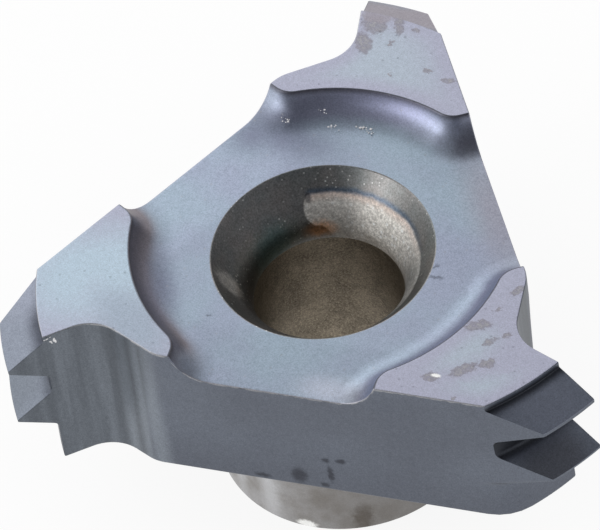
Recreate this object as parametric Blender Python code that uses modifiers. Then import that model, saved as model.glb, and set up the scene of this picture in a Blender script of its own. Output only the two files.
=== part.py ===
"""Three-edge indexable threading insert, ground from one piece of cemented carbide.

The insert is a drafted three-sided plate with a cylindrical hub under it. Each corner carries two
full-profile 60 degree teeth, relieved behind the cutting edge, with a ground gullet in front of it.
Above, a recess with a filleted wall leaves one raised pad at each corner, and a countersunk screw
hole goes down through the hub.

+Z is up, along the screw hole. The first corner's rake face lies in the XZ plane at +X, and the
origin is the insert's centre of mass, which lies on the hole's axis.
"""

from math import acos, atan2, cos, pi, radians, sin, sqrt, tan

import bmesh
import bpy
import numpy as np

MM = 0.001

# Corners and thread form
EDGES = 3
CUTTING_RADIUS = 6.85 * MM
PITCH = 1.5 * MM
TEETH = 2
FLANK_ANGLE = radians(30)
THREAD_DEPTH = 0.815 * MM
THREAD_ROOT = CUTTING_RADIUS - THREAD_DEPTH
CREST_FLAT = 0.09 * MM
LAST_CREST_FLAT = 0.05 * MM
ROOT_FILLET = 0.18 * MM
TOP_LAND = 0.16 * MM
SHOULDER = 1.09 * MM
RELIEF_RADIUS = 6.6 * MM
TIP_RELIEF = radians(7.4)
TOOTH_HEEL = 0.05 * MM
SHOULDER_HEEL = 1.1 * MM

# Sides and gullets
SIDE_TURN = radians(-67.8)
SIDE_SETBACK = 0.029 * MM
SIDE_INRADIUS = THREAD_ROOT * cos(SIDE_TURN + 2 * pi / EDGES) - SIDE_SETBACK
SIDE_DRAFT = radians(2.5)
GULLET_DEPTH = 1.14 * MM
GULLET_WALL = radians(117)
GULLET_FILLET = 0.85 * MM
GULLET_TILT = radians(1.3)
LIP_RADIUS = 0.8 * MM

# Recess between the pads
RECESS_OVERLAP = 0.2 * MM
RECESS_RADIUS = SIDE_INRADIUS + RECESS_OVERLAP
RECESS_DEPTH = 0.54 * MM
RECESS_FILLET = 0.86 * MM
MOUTH_WIDTH = 4.26 * MM
PAD_CORNER = 0.5 * MM

# Screw hole and hub
RIM_DIAMETER = 4.56 * MM
LEAD_IN_DIAMETER = 3.92 * MM
LEAD_IN_DEPTH = 0.4 * MM
SEAT_DEPTH = 1.0 * MM
BORE_DIAMETER = 3.1 * MM
HUB_DIAMETER = 5.4 * MM
HUB_LENGTH = 2.43 * MM
HUB_CHAMFER = 0.05 * MM

# Facets
RELIEF_STEPS = 8
HEEL_STEPS = 4
ROOT_STEPS = 3
FILLET_STEPS = 5
WALL_STEPS = 6
PAD_STEPS = 12
SEAT_STEPS = 6
TURN_STEPS = 96
OVERRUN = 0.8 * MM


def polar(radius, angle):
    """The plan point at a radius and an angle from +X."""
    return np.array([radius * cos(angle), radius * sin(angle)])


def direction(start, end):
    """The angle from +X of the way from one plan point to another."""
    return atan2(*(end - start)[::-1])


def arc(centre, radius, start, end, steps):
    """Plan points from one angle to another on a circle, with both ends."""
    return [centre + polar(radius, a) for a in np.linspace(start, end, steps + 1)]


def side_axes(corner):
    """Unit vectors of the side that ends at a corner: outwards, and along it towards the corner."""
    turn = SIDE_TURN + corner * 2 * pi / EDGES
    return polar(1, turn), polar(1, turn + pi / 2)


def crossing(point, direction, normal, distance):
    """Where a line meets the line at a distance along a unit normal."""
    return point + direction * (distance - point @ normal) / (direction @ normal)


def blend(before, vertex, after, radius, steps):
    """The arc of a radius that rounds the vertex between two points."""
    into = (vertex - before) / np.linalg.norm(vertex - before)
    out = (after - vertex) / np.linalg.norm(after - vertex)
    turn = atan2(into[0] * out[1] - into[1] * out[0], into @ out)
    reach = radius * tan(abs(turn) / 2)
    normal = np.array([-into[1], into[0]]) * np.sign(turn)
    centre = vertex - into * reach + normal * radius
    start = direction(normal, np.zeros(2))
    return arc(centre, radius, start, start + turn, steps)


def thread_profile():
    """Points (radius on the rake face, depth) from the pads down to the plate's underside."""
    flank = THREAD_DEPTH * tan(FLANK_ANGLE)
    corners = [(THREAD_ROOT, 0), (THREAD_ROOT, TOP_LAND)]
    for tooth in range(TEETH):
        last = tooth == TEETH - 1
        crest = TOP_LAND + tooth * PITCH + flank
        crest_end = crest + (LAST_CREST_FLAT if last else CREST_FLAT)
        next_root = crest_end + flank + SHOULDER if last else TOP_LAND + (tooth + 1) * PITCH
        corners += [(CUTTING_RADIUS, crest), (CUTTING_RADIUS, crest_end)]
        corners += [(THREAD_ROOT, crest_end + flank), (THREAD_ROOT, next_root)]
    corners = [np.array(corner) for corner in corners]
    profile = corners[:4]
    for before, vertex, after in zip(corners[3:], corners[4:], corners[5:]):
        if vertex[0] == THREAD_ROOT:
            profile += blend(before, vertex, after, ROOT_FILLET, ROOT_STEPS)
        else:
            profile.append(vertex)
    return [*profile, corners[-1]]


def plate_outline(radius, depth, heel):
    """The plate's outline at a depth, from a radius on the rake face and the heels' rounding."""
    inradius = SIDE_INRADIUS - depth * tan(SIDE_DRAFT)
    relief_centre = np.array([
        CUTTING_RADIUS - RELIEF_RADIUS * cos(TIP_RELIEF),
        RELIEF_RADIUS * sin(TIP_RELIEF),
    ])
    relief = np.linalg.norm(np.array([radius, 0]) - relief_centre)
    lean = depth * tan(GULLET_TILT)
    edge = np.array([relief_centre[0] + sqrt(relief**2 - (lean - relief_centre[1]) ** 2), lean])

    outward, along = side_axes(0)
    inset = inradius - heel - relief_centre @ outward
    reach = sqrt((relief - heel) ** 2 - inset**2)
    heel_centre = (inradius - heel) * outward + (relief_centre @ along + reach) * along
    heel_angle = direction(relief_centre, heel_centre)

    next_outward, next_along = side_axes(1)
    gullet_root = np.array([THREAD_ROOT - GULLET_DEPTH, lean])
    lip = crossing(gullet_root, polar(1, GULLET_WALL), next_outward, inradius)
    corner = (
        arc(heel_centre, heel, SIDE_TURN, heel_angle, HEEL_STEPS)
        + arc(relief_centre, relief, heel_angle, direction(relief_centre, edge), RELIEF_STEPS)[1:]
        + blend(edge, gullet_root, lip, GULLET_FILLET, FILLET_STEPS)
        + blend(gullet_root, lip, lip + next_along * SIDE_INRADIUS, LIP_RADIUS, FILLET_STEPS)
    )
    return repeat_at_corners(corner)


def repeat_at_corners(points):
    """The plan points of one corner, turned to all of them."""
    outline = []
    for corner in range(EDGES):
        c, s = cos(corner * 2 * pi / EDGES), sin(corner * 2 * pi / EDGES)
        outline += [np.array([c * x - s * y, s * x + c * y]) for x, y in points]
    return outline


def recess_outline(offset):
    """The recess, drawn in by an offset from the pads' edges, its mouths run out past the sides."""
    corner_reach = RECESS_RADIUS + PAD_CORNER
    corner_along = MOUTH_WIDTH / 2 + PAD_CORNER
    corner_outward = sqrt(corner_reach**2 - corner_along**2)
    swing = atan2(corner_along, corner_outward)
    far = SIDE_INRADIUS + OVERRUN
    radius = PAD_CORNER + offset

    outward, along = side_axes(0)
    trailing = corner_outward * outward + corner_along * along
    trailing_far = far * outward + (MOUTH_WIDTH / 2 - offset) * along
    next_outward, next_along = side_axes(1)
    leading = corner_outward * next_outward - corner_along * next_along
    leading_far = far * next_outward - (MOUTH_WIDTH / 2 - offset) * next_along

    inward = SIDE_TURN + swing + pi
    next_inward = SIDE_TURN + 2 * pi / EDGES - swing + pi
    pad = (
        [trailing_far]
        + arc(trailing, radius, SIDE_TURN + 3 * pi / 2, inward, WALL_STEPS)
        + arc(np.zeros(2), RECESS_RADIUS - offset, inward - pi, next_inward - pi, PAD_STEPS)[1:-1]
        + arc(leading, radius, next_inward, SIDE_TURN + 2 * pi / EDGES + pi / 2, WALL_STEPS)
        + [leading_far]
    )
    return repeat_at_corners(pad)


def loft(name, sections, collection):
    """A closed solid through (outline, height) sections, top down, each counterclockwise."""
    bm = bmesh.new()
    rings = [[bm.verts.new((*point, height)) for point in outline] for outline, height in sections]
    for upper, lower in zip(rings, rings[1:]):
        for i in range(len(upper)):
            j = (i + 1) % len(upper)
            bm.faces.new((upper[i], lower[i], lower[j], upper[j]))
    bm.faces.new(rings[0])
    bm.faces.new(rings[-1][::-1])
    mesh = bpy.data.meshes.new(name)
    bm.to_mesh(mesh)
    bm.free()
    obj = bpy.data.objects.new(name, mesh)
    collection.objects.link(obj)
    return obj


def turned(name, profile, collection):
    """A solid turned round Z from (radius, height) points: off the axis, down, and back to it."""
    mesh = bpy.data.meshes.new(name)
    vertices = [(radius, 0, height) for radius, height in profile]
    edges = [(i, i + 1) for i in range(len(profile) - 1)]
    mesh.from_pydata(vertices, edges, [])
    obj = bpy.data.objects.new(name, mesh)
    collection.objects.link(obj)
    screw = obj.modifiers.new("turn", "SCREW")
    screw.axis = "Z"
    screw.steps = TURN_STEPS
    screw.render_steps = TURN_STEPS
    screw.use_merge_vertices = True
    screw.merge_threshold = 0.001 * MM
    return obj


def make_plate(collection):
    """The drafted three-sided plate with its relieved teeth and gullets."""
    profile = thread_profile()
    last_crest = max(depth for radius, depth in profile if radius == CUTTING_RADIUS)
    sections = []
    for radius, depth in profile:
        heel = SHOULDER_HEEL if depth > last_crest else TOOTH_HEEL
        sections.append((plate_outline(radius, depth, heel), -depth))
    return loft("threading_insert", sections, collection)


def make_recess_cutter(collection):
    """What is ground away between the pads: a flat floor, a fillet and open mouths at the sides."""
    top_angle = acos(1 - RECESS_DEPTH / RECESS_FILLET)
    fillet_width = RECESS_FILLET * sin(top_angle)
    sections = [(recess_outline(0), OVERRUN)]
    for angle in np.linspace(top_angle, 0, WALL_STEPS + 1):
        rise = RECESS_FILLET * (1 - cos(angle))
        offset = fillet_width - RECESS_FILLET * sin(angle)
        sections.append((recess_outline(offset), rise - RECESS_DEPTH))
    return loft("recess_cutter", sections, collection)


def make_hub(plate_bottom, collection):
    """The hub, from inside the plate down to its chamfered end."""
    radius = HUB_DIAMETER / 2
    end = plate_bottom - HUB_LENGTH
    return turned(
        "hub",
        [
            (0, plate_bottom + OVERRUN),
            (radius, plate_bottom + OVERRUN),
            (radius, end + HUB_CHAMFER),
            (radius - HUB_CHAMFER, end),
            (0, end),
        ],
        collection,
    )


def make_hole_cutter(plate_bottom, collection):
    """The screw hole: a lead-in cone, a seat that curves into the bore, and the bore."""
    bore = BORE_DIAMETER / 2
    lead_in = LEAD_IN_DIAMETER / 2
    rim = RIM_DIAMETER / 2
    seat_top = -RECESS_DEPTH - LEAD_IN_DEPTH
    seat_bottom = seat_top - SEAT_DEPTH
    narrowing = lead_in - bore
    seat_radius = (SEAT_DEPTH**2 + narrowing**2) / (2 * narrowing)
    seat_angle = acos(1 - narrowing / seat_radius)
    seat = [
        (bore + seat_radius * (1 - cos(angle)), seat_bottom + seat_radius * sin(angle))
        for angle in np.linspace(seat_angle, 0, SEAT_STEPS + 1)
    ]
    end = plate_bottom - HUB_LENGTH - OVERRUN
    profile = [(0, OVERRUN), (rim, OVERRUN), (rim, -RECESS_DEPTH), *seat, (bore, end), (0, end)]
    return turned("hole_cutter", profile, collection)


def combine(target, other, operation):
    """Joins the other solid to the target, or cuts it out of it."""
    modifier = target.modifiers.new(other.name, "BOOLEAN")
    modifier.operation = operation
    modifier.object = other
    modifier.solver = "EXACT"


def carbide():
    """Coated cemented carbide."""
    material = bpy.data.materials.new("coated_carbide")
    material.use_nodes = True
    shader = material.node_tree.nodes["Principled BSDF"]
    shader.inputs["Base Color"].default_value = (0.30, 0.32, 0.40, 1)
    shader.inputs["Metallic"].default_value = 0.6
    shader.inputs["Roughness"].default_value = 0.4
    return material


def height_of_mass(obj):
    """The height of the centre of mass of an object's evaluated mesh."""
    evaluated = obj.evaluated_get(bpy.context.evaluated_depsgraph_get())
    mesh = evaluated.to_mesh()
    mesh.calc_loop_triangles()
    points = np.array([vertex.co for vertex in mesh.vertices])
    corners = points[np.array([triangle.vertices for triangle in mesh.loop_triangles])]
    volumes = np.einsum("ij,ij->i", corners[:, 0], np.cross(corners[:, 1], corners[:, 2])) / 6
    heights = corners[:, :, 2].sum(axis=1) / 4
    evaluated.to_mesh_clear()
    return float((volumes * heights).sum() / volumes.sum())


def new_collection(name):
    """A collection in the scene."""
    collection = bpy.data.collections.new(name)
    bpy.context.scene.collection.children.link(collection)
    return collection


def main():
    for obj in list(bpy.data.objects):
        bpy.data.objects.remove(obj)
    parts = new_collection("threading_insert")
    tools = new_collection("cutters")

    plate_bottom = -thread_profile()[-1][1]
    insert = make_plate(parts)
    hub = make_hub(plate_bottom, tools)
    recess = make_recess_cutter(tools)
    hole = make_hole_cutter(plate_bottom, tools)
    combine(insert, hub, "UNION")
    combine(insert, recess, "DIFFERENCE")
    combine(insert, hole, "DIFFERENCE")
    for tool in (hub, recess, hole):
        tool.hide_render = True
        tool.display_type = "WIRE"
    insert.data.materials.append(carbide())
    insert.data.shade_smooth()
    insert.data.set_sharp_from_angle(angle=radians(20))

    centre = height_of_mass(insert)
    for obj in (insert, hub, recess, hole):
        obj.location.z = -centre


main()
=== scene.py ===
"""The threading insert's finished surface, its coating and its stage.

The body is one closed surface on a grid. Its rows run up the bore, out over the recess, the pads
and the teeth, and back under the plate and up the hub's end to the bore. Its columns run round the
screw hole. Every size is in millimetres until the mesh is made.
"""

from math import acos, atan2, cos, pi, radians, sin, sqrt, tan

import bpy
import numpy as np
from bpy.props import FloatProperty, FloatVectorProperty, PointerProperty
from bpy.types import Operator, Panel, PropertyGroup
from mathutils import Matrix, Vector


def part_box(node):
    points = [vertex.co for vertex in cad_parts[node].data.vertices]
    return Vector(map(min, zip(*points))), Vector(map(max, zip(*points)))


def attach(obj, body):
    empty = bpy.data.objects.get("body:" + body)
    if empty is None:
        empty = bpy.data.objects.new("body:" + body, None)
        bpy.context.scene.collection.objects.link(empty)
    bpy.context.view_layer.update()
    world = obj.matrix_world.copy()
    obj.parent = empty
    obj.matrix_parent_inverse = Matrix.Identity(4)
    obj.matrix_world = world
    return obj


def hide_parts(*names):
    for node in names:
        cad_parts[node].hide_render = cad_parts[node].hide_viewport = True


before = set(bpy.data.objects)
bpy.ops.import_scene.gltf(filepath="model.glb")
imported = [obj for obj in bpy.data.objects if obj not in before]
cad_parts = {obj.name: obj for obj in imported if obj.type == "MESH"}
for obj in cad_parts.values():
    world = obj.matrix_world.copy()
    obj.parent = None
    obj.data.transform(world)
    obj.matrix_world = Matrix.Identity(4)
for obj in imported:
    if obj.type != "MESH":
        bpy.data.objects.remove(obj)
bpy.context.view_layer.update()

bl_info = {
    "name": "Threading Insert",
    "version": (1, 0, 0),
    "blender": (4, 5, 0),
    "location": "View3D > Sidebar > Insert",
    "description": "Makes the finished surface of an indexable threading insert and its stage",
    "category": "Add Mesh",
}

NODE = "threading_insert"
MM = 0.001
PADS_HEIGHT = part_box(NODE)[1].z / MM
HUB_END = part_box(NODE)[0].z / MM

# Corners and thread form
EDGES = 3
CUTTING_RADIUS = 6.85
PITCH = 1.5
TEETH = 2
FLANK_ANGLE = radians(30)
THREAD_DEPTH = 0.815
THREAD_ROOT = CUTTING_RADIUS - THREAD_DEPTH
CREST_FLAT = 0.09
LAST_CREST_FLAT = 0.05
ROOT_FILLET = 0.18
TOP_LAND = 0.16
SHOULDER = 1.09
RELIEF_RADIUS = 6.6
TIP_RELIEF = radians(7.4)
TOOTH_HEEL = 0.05
SHOULDER_HEEL = 1.1

# Sides and gullets
SIDE_TURN = radians(-67.8)
SIDE_SETBACK = 0.018
SIDE_INRADIUS = THREAD_ROOT * cos(SIDE_TURN + 2 * pi / EDGES) - SIDE_SETBACK
SIDE_DRAFT = radians(2.5)
GULLET_DEPTH = 1.14
GULLET_WALL = radians(117)
GULLET_FILLET = 0.85
GULLET_TILT = radians(1.3)
LIP_RADIUS = 0.8

# Recess between the pads
RECESS_OVERLAP = 0.2
RECESS_RADIUS = SIDE_INRADIUS + RECESS_OVERLAP
RECESS_DEPTH = 0.54
RECESS_FILLET = 0.86
MOUTH_WIDTH = 4.26
PAD_CORNER = 0.5
RUN_OUT_DROP = 0.08
RUN_OUT_REACH = 0.04
RUN_OUT_END = 2.2
RUN_OUT_MARGIN = 0.5

# Screw hole and hub
RIM_RADIUS = 2.28
LEAD_IN_RADIUS = 1.96
LEAD_IN_DEPTH = 0.4
SEAT_DEPTH = 1.0
BORE_RADIUS = 1.55
HUB_RADIUS = 2.7

# Grid
MOUTH_COLUMNS = 26
SIDE_COLUMNS = 14
HEEL_COLUMNS = 5
RELIEF_COLUMNS = 20
TIP_COLUMNS = 3
RAKE_COLUMNS = 8
GULLET_COLUMNS = 12
WALL_COLUMNS = 6
LIP_COLUMNS = 8
LEADING_COLUMNS = 4
FILLET_ROWS = 11
EDGE_ROWS = 3
PAD_ROWS = 12
FLOOR_ROWS = 10
SEAT_ROWS = 16
LEAD_IN_ROWS = 6
BORE_ROWS = 12
HUB_ROWS = 8
SHOULDER_ROWS = 4
UNDER_ROWS = 5
HUB_END_ROWS = 3
CORNER_STEPS = 5
MERGE_DISTANCE = 1e-5

# Dust
FLECK_CLUSTER = 9
FLECK_SPREAD = [0.1, 0.06, 0.004]
FLECK_SEED = 7

# Dark screen: its radius, the elevations of its edge and top, and the opening where it rises
SCREEN_RADIUS = 110
SCREEN_EDGE = radians(4)
SCREEN_TOP = radians(89)
OPENING_AZIMUTH = radians(165)
OPENING_REACH = radians(84)
OPENING_FADE = radians(16)
OPENING_RISE = radians(62)

# Camera: its direction and roll, the x and y of its aim, its distance and focal length in mm
CAMERA_WAY = (-0.45751, 0.46075, -0.76052)
CAMERA_ROLL = radians(-8.807)
CAMERA_AIM = (0.15722, -0.86425)
CAMERA_DISTANCE = 181.955
FOCAL_LENGTH = 543.749

# Share of a pad's recess edge that each stretch of the pad's outline has reached at its end
EDGE_SHARES = [0, 0.27, 0.32, 0.44, 0.46, 0.57, 0.70, 0.79, 0.93, 1]

# Finishes, in the order of the body's material slots. The last three share the walls' material
PAD, RECESS, SEAT, BORE, HUB, SIDE, FLANK, GULLET = range(8)


def polar(radius, angle):
    """Plan points at a radius and angles from +X."""
    return np.stack([radius * np.cos(angle), radius * np.sin(angle)], axis=-1)


def direction(start, end):
    """The angle from +X of the way from one plan point to another."""
    return atan2(*(end - start)[::-1])


def side_axes(corner):
    """Unit vectors of the side that ends at a corner: outwards, and along it to the corner."""
    turn = SIDE_TURN + corner * 2 * pi / EDGES
    return polar(1.0, turn), polar(1.0, turn + pi / 2)


def crossing(point, way, normal, distance):
    """Where a line meets the line at a distance along a unit normal."""
    return point + way * (distance - point @ normal) / (way @ normal)


def blend(before, vertex, after, radius, steps):
    """The arc of a radius that rounds the vertex between two points, as steps + 1 points."""
    into = (vertex - before) / np.linalg.norm(vertex - before)
    out = (after - vertex) / np.linalg.norm(after - vertex)
    turn = atan2(into[0] * out[1] - into[1] * out[0], into @ out)
    normal = np.array([-into[1], into[0]]) * np.sign(turn)
    centre = vertex - into * radius * tan(abs(turn) / 2) + normal * radius
    start = direction(normal, np.zeros(2))
    return centre + polar(radius, np.linspace(start, start + turn, steps + 1))


def straight(start, end, steps):
    """Points between two ends, without the ends."""
    share = np.linspace(0, 1, steps + 1)[1:-1, None]
    return start + (end - start) * share


def inradius(depth):
    """How far a drafted side lies from the axis at a depth below the pads."""
    return SIDE_INRADIUS - depth * tan(SIDE_DRAFT)


def thread_profile(crest_rounding, land_rounding):
    """Rows (radius on the rake face, depth, heel rounding) down the teeth, corners rounded.

    The profile is the polygon land, crest, crest, root for each tooth, then the shoulder. Each
    corner is replaced by its arc. The heel's rounding grows along the last tooth's lower flank.
    """
    flank = THREAD_DEPTH * tan(FLANK_ANGLE)
    corners = [((THREAD_ROOT, 0), 0), ((THREAD_ROOT, TOP_LAND), land_rounding)]
    for tooth in range(TEETH):
        last = tooth == TEETH - 1
        crest = TOP_LAND + tooth * PITCH + flank
        crest_end = crest + (LAST_CREST_FLAT if last else CREST_FLAT)
        next_root = crest_end + flank + SHOULDER if last else TOP_LAND + (tooth + 1) * PITCH
        corners += [((CUTTING_RADIUS, crest), crest_rounding)]
        corners += [((CUTTING_RADIUS, crest_end), crest_rounding)]
        corners += [((THREAD_ROOT, crest_end + flank), ROOT_FILLET)]
        corners += [((THREAD_ROOT, next_root), ROOT_FILLET)]
    points = [np.array(point, float) for point, rounding in corners]
    profile = [points[:1]]
    for i in range(1, len(points) - 1):
        profile.append(blend(points[i - 1], points[i], points[i + 1], corners[i][1], CORNER_STEPS))
    profile.append(points[-1:])
    profile = np.concatenate(profile)
    heel = np.interp(profile[:, 1], [crest_end, crest_end + flank], [TOOTH_HEEL, SHOULDER_HEEL])
    return np.column_stack([profile, heel])


def pad_outline(radius, depth, heel, tip, mouth, inset=0.0):
    """One corner's outline at a depth, drawn in by an inset, from one side's mouth to the next's.

    A straight side, the heel's arc, the relief arc, a tiny arc at the cutting edge, the straight
    rake face, the gullet's arc, its straight wall, the lip's arc, and the next side.
    """
    reach = inradius(depth) - inset
    relief_centre = np.array([
        CUTTING_RADIUS - RELIEF_RADIUS * cos(TIP_RELIEF),
        RELIEF_RADIUS * sin(TIP_RELIEF),
    ])
    relief = np.linalg.norm(np.array([radius, 0]) - relief_centre) - inset
    lean = depth * tan(GULLET_TILT) - inset
    edge = np.array([relief_centre[0] + sqrt(relief**2 - (lean - relief_centre[1]) ** 2), lean])

    outward, along = side_axes(0)
    heel = max(heel - inset, 0.01)
    offset = reach - heel - relief_centre @ outward
    run = relief_centre @ along + sqrt((relief - heel) ** 2 - offset**2)
    heel_centre = (reach - heel) * outward + run * along
    heel_angle = direction(relief_centre, heel_centre)

    next_outward, next_along = side_axes(1)
    wall = polar(1.0, GULLET_WALL)
    wall_outward = polar(1.0, GULLET_WALL - pi / 2)
    root_shift = inset * (wall_outward[1] - 1) / wall[1]
    gullet_root = np.array([THREAD_ROOT - GULLET_DEPTH, lean + inset])
    gullet_root = gullet_root - inset * wall_outward + root_shift * wall
    lip = crossing(gullet_root, wall, next_outward, reach)

    start = reach * outward + mouth * along
    end = reach * next_outward - mouth * next_along
    tangent = np.array([edge[1] - relief_centre[1], relief_centre[0] - edge[0]])
    tip_arc = blend(edge + tangent, edge, gullet_root, tip, TIP_COLUMNS - 1)
    heel_arc = heel_centre + polar(heel, np.linspace(SIDE_TURN, heel_angle, HEEL_COLUMNS))
    relief_end = direction(relief_centre, tip_arc[0])
    sweep = np.linspace(heel_angle, relief_end, RELIEF_COLUMNS)[1:-1]
    gullet = blend(edge, gullet_root, lip, GULLET_FILLET + inset, GULLET_COLUMNS - 1)
    lip_arc = blend(gullet_root, lip, lip + next_along, LIP_RADIUS - inset, LIP_COLUMNS - 1)
    return np.concatenate([
        start[None],
        straight(start, heel_arc[0], SIDE_COLUMNS),
        heel_arc,
        relief_centre + polar(relief, sweep),
        tip_arc,
        straight(tip_arc[-1], gullet[0], RAKE_COLUMNS),
        gullet,
        straight(gullet[-1], lip_arc[0], WALL_COLUMNS),
        lip_arc,
        straight(lip_arc[-1], end, LEADING_COLUMNS),
        end[None],
    ])


def recess_edge(share, offset, reach):
    """Points at shares 0..1 of a pad's recess edge, drawn in by an offset.

    Straight in from one side, round the pad's first corner, along the circle about the screw hole,
    round the second corner and straight out to the next side, which lies at the given reach.
    """
    corner_reach = RECESS_RADIUS + PAD_CORNER
    corner_along = MOUTH_WIDTH / 2 + PAD_CORNER
    corner_outward = sqrt(corner_reach**2 - corner_along**2)
    swing = atan2(corner_along, corner_outward)
    outward, along = side_axes(0)
    next_outward, next_along = side_axes(1)
    knots = np.array([0, 0.04, 0.27, 0.73, 0.96, 1])
    part = np.clip((share[:, None] - knots[:-1]) / np.diff(knots), 0, 1)

    depth_in = reach - corner_outward
    first = corner_outward * outward + corner_along * along
    last = corner_outward * next_outward - corner_along * next_along
    rise = (1 - part[:, 0]) * depth_in
    fall = part[:, 4] * depth_in
    turn = SIDE_TURN - pi / 2 - part[:, 1] * (pi / 2 - swing)
    middle = SIDE_TURN + swing + part[:, 2] * (2 * pi / EDGES - 2 * swing)
    back = SIDE_TURN + 2 * pi / EDGES - swing - pi - part[:, 3] * (pi / 2 - swing)
    pieces = [
        first - (PAD_CORNER + offset) * along + rise[:, None] * outward,
        first + polar(PAD_CORNER + offset, turn),
        polar(RECESS_RADIUS - offset, middle),
        last + polar(PAD_CORNER + offset, back),
        last + (PAD_CORNER + offset) * next_along + fall[:, None] * next_outward,
    ]
    section = np.clip(np.searchsorted(knots, share, side="right") - 1, 0, 4)
    return np.select([(section == i)[:, None] for i in range(5)], pieces)


def recess_profile(rounding):
    """Rows (offset from the pad's edge, depth, slope) of the recess's wall, from floor to pad.

    A concave arc that leaves the floor level, then a convex arc of the edge rounding that ends
    level on the pad.
    """
    rise = RECESS_FILLET - RECESS_DEPTH
    width = sqrt(RECESS_FILLET**2 - rise**2)
    meet = acos((rise + rounding) / (RECESS_FILLET + rounding))
    hollow = np.linspace(0, meet, FILLET_ROWS + 1)
    crown = np.linspace(meet, 0, EDGE_ROWS + 1)[1:]
    start = width - sqrt((RECESS_FILLET + rounding) ** 2 - (rise + rounding) ** 2)
    offset = np.concatenate([
        width - RECESS_FILLET * np.sin(hollow),
        start + rounding * np.sin(crown),
    ])
    depth = np.concatenate([
        RECESS_DEPTH - RECESS_FILLET * (1 - np.cos(hollow)),
        rounding * (1 - np.cos(crown)),
    ])
    return offset, depth, np.concatenate([hollow, crown])


def spread_rows(start, end, rows):
    """Rows from one row of points to another, with both, closer together towards the ends."""
    share = (1 - np.cos(np.linspace(0, pi, rows + 1))) / 2
    return start + (end - start) * share[:, None, None]


def quarter_turn(rows):
    """The angles of a rounding's rows up to a right angle, without the first."""
    return np.linspace(0, pi / 2, rows + 1)[1:]


def at_height(plan, height):
    """Plan points with a height, which may differ from point to point."""
    return np.column_stack([plan, np.broadcast_to(height, len(plan))])


def shares_along_pad(count):
    """For each column of a pad's outline, the share of the recess's edge that it runs to."""
    stretches = [
        0, SIDE_COLUMNS, HEEL_COLUMNS - 1, RELIEF_COLUMNS - 1, TIP_COLUMNS - 1, RAKE_COLUMNS,
        GULLET_COLUMNS - 1, WALL_COLUMNS, LIP_COLUMNS - 1, LEADING_COLUMNS,
    ]
    return np.interp(np.arange(count), np.cumsum(stretches), EDGE_SHARES)


def column_finishes(strip, count):
    """The finish of each column of one corner's outer wall: side, flank, gullet, side."""
    flank = MOUTH_COLUMNS + strip - 1 + SIDE_COLUMNS + 2
    gullet = flank + HEEL_COLUMNS + RELIEF_COLUMNS + TIP_COLUMNS // 2 - 4
    side = gullet + RAKE_COLUMNS + GULLET_COLUMNS + WALL_COLUMNS + TIP_COLUMNS // 2 - 1
    finishes = np.full(MOUTH_COLUMNS + 2 * (strip - 1) + count, SIDE)
    finishes[flank:gullet] = FLANK
    finishes[gullet:side] = GULLET
    return finishes


def run_out(points):
    """Lowers the recess's floor a little towards the sides, and brings its edge out.

    The shift is q * w * v times (RUN_OUT_REACH outwards, RUN_OUT_DROP down). Here q goes from 0 to
    1 between the hole's rim and the side. w is 1 at the floor's depth, and 0 on the pads and from
    RUN_OUT_END down. v fades smoothly from 1 to 0 over RUN_OUT_MARGIN past the mouth's ends.
    """
    depth = -points[..., 2]
    above = depth / RECESS_DEPTH
    below = (RUN_OUT_END - depth) / (RUN_OUT_END - RECESS_DEPTH)
    w = np.clip(np.minimum(above, below), 0, 1)
    shift = np.zeros_like(points)
    for corner in range(EDGES):
        outward, along = side_axes(corner)
        reach = points[..., :2] @ outward
        away = np.abs(points[..., :2] @ along)
        q = np.clip((reach - RIM_RADIUS) / (SIDE_INRADIUS - RIM_RADIUS), 0, 1)
        share = np.clip((MOUTH_WIDTH / 2 + RUN_OUT_MARGIN - away) / RUN_OUT_MARGIN, 0, 1)
        v = share**2 * (3 - 2 * share)
        amount = q * w * v
        shift += amount[..., None] * np.append(outward * RUN_OUT_REACH, -RUN_OUT_DROP)
    return points + shift


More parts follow.
